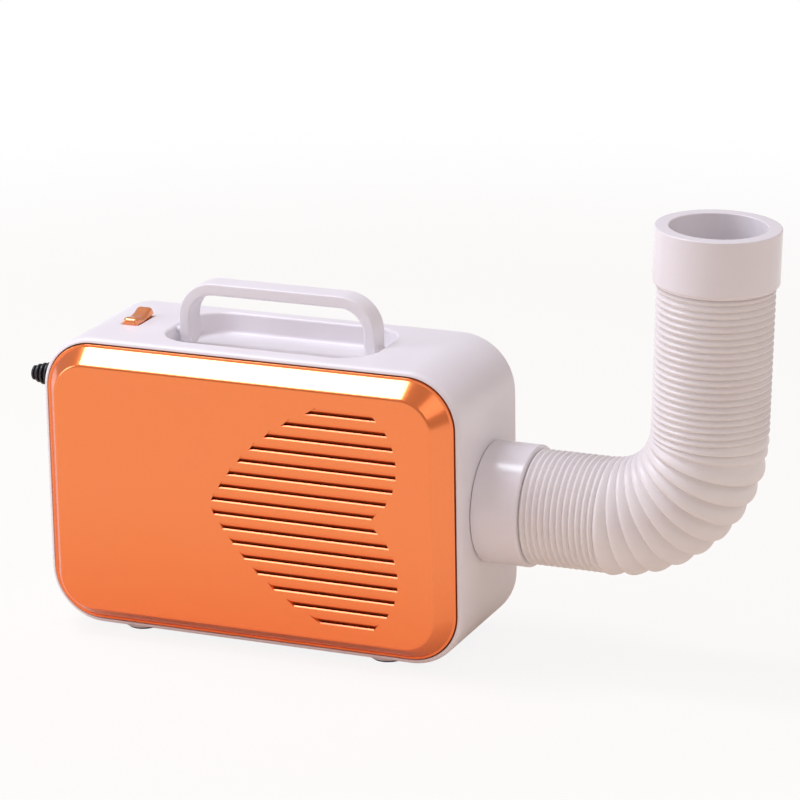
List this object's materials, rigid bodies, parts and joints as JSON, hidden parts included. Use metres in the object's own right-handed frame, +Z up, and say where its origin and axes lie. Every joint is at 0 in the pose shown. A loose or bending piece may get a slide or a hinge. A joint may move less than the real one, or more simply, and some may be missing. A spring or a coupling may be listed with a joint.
{
  "type": "pet dryer",
  "caption": "Warm-air pet dryer: boxy blower with a heart-shaped louvred grille, a folding bail handle and a ribbed stay-put hose with a round nozzle.",
  "frame": {"origin": "on the plane that the four feet rest on, under the centre of the housing shell", "axes": "+X along the front towards the hose, +Y from the front panel to the back, +Z up"},
  "size_m": [0.526, 0.114, 0.305],
  "materials": {
    "white_abs": "moulded, satin gloss",
    "grey_abs": "moulded, matt",
    "orange_paint": "metallic copper-orange paint",
    "orange_plate": "copper-orange plating",
    "black_nylon": "moulded, matt",
    "black_rubber": "moulded, matt",
    "grey_rubber": "moulded, matt",
    "foam": "open-cell foam",
    "zinc_steel": "zinc plated",
    "cast_zinc": "die cast",
    "sintered_bronze": "sintered",
    "ferrite": "sintered, dull",
    "copper_winding": "enamelled wire on laminations",
    "mica": "pressed sheet",
    "resistance_wire": "oxidised",
    "ceramic": "glazed",
    "board_green": "solder mask",
    "blue_plastic": "moulded",
    "green_plastic": "moulded",
    "lead_black": "extruded sleeve",
    "lead_blue": "extruded sleeve",
    "lead_red": "extruded sleeve",
    "white_cuff": "moulded, glossy",
    "white_hose": "blow moulded, ribbed"
  },
  "bodies": {
    "housing": {"housing_shell": "white_abs", "handle_pins": "white_abs", "cord_clamp": "white_abs", "filter_frame": "white_abs", "outlet_socket": "white_abs", "front_chassis": "grey_abs", "volute_front": "grey_abs", "volute_rear": "grey_abs", "front_panel": "orange_paint", "switch_body": "black_nylon", "cord_boot": "black_rubber", "foot_pads": "grey_rubber", "motor_dampers": "grey_rubber", "filter_foam": "foam", "chassis_screws": "zinc_steel", "panel_screws": "zinc_steel", "clamp_screws": "zinc_steel", "volute_screws": "zinc_steel", "motor_screws": "zinc_steel", "socket_screws": "zinc_steel", "board_screws": "zinc_steel", "rocker_axle": "zinc_steel", "heater_tube": "zinc_steel", "thermostat": "zinc_steel", "motor_can": "zinc_steel", "air_duct": "zinc_steel", "motor_cap": "cast_zinc", "motor_bushes": "sintered_bronze", "motor_magnets": "ferrite", "heater_frame": "mica", "heater_coil": "resistance_wire", "thermal_fuse": "ceramic", "power_board": "board_green", "relay": "blue_plastic", "capacitor": "blue_plastic", "terminal_block": "green_plastic", "switch_lead": "lead_black", "motor_lead": "lead_blue", "heater_lead": "lead_red"},
    "handle": {"handle": "white_abs"},
    "rocker": {"rocker_cap": "orange_plate"},
    "rotor": {"impeller": "grey_abs", "motor_shaft": "zinc_steel", "armature": "copper_winding"},
    "lower_hose": {"hose_cuff": "white_cuff", "hose_lower": "white_hose", "hose_elbow": "white_hose"},
    "upper_hose": {"hose_upper": "white_hose"},
    "nozzle": {"nozzle_cuff": "white_cuff"}
  },
  "joints": [
    {"name": "handle_fold", "type": "hinge", "parent": "housing", "child": "handle", "pos_m": [0.002, 0.002, 0.2004], "axis": [1, 0, 0], "range_deg": [-90, 90]},
    {"name": "power_rocker", "type": "hinge", "parent": "housing", "child": "rocker", "pos_m": [-0.1035, 0.002, 0.1986], "axis": [1, 0, 0], "range_deg": [-12, 0]},
    {"name": "impeller_spin", "type": "hinge", "parent": "housing", "child": "rotor", "pos_m": [0.01, 0, 0.066], "axis": [0, 1, 0], "continuous": true},
    {"name": "hose_swivel", "type": "hinge", "parent": "housing", "child": "lower_hose", "pos_m": [0.15, 0.005, 0.104], "axis": [1, 0, 0], "range_deg": [-90, 90]},
    {"name": "hose_bend", "type": "hinge", "parent": "lower_hose", "child": "upper_hose", "pos_m": [0.25315, 0.005, 0.15014], "axis": [0, 1, 0], "range_deg": [0, 60], "deforming": ["hose_elbow"]},
    {"name": "hose_stretch", "type": "slide", "parent": "upper_hose", "child": "nozzle", "axis": [0.0349, 0, 0.9994], "range_m": [0, 0.08], "deforming": ["hose_upper"]}
  ]
}
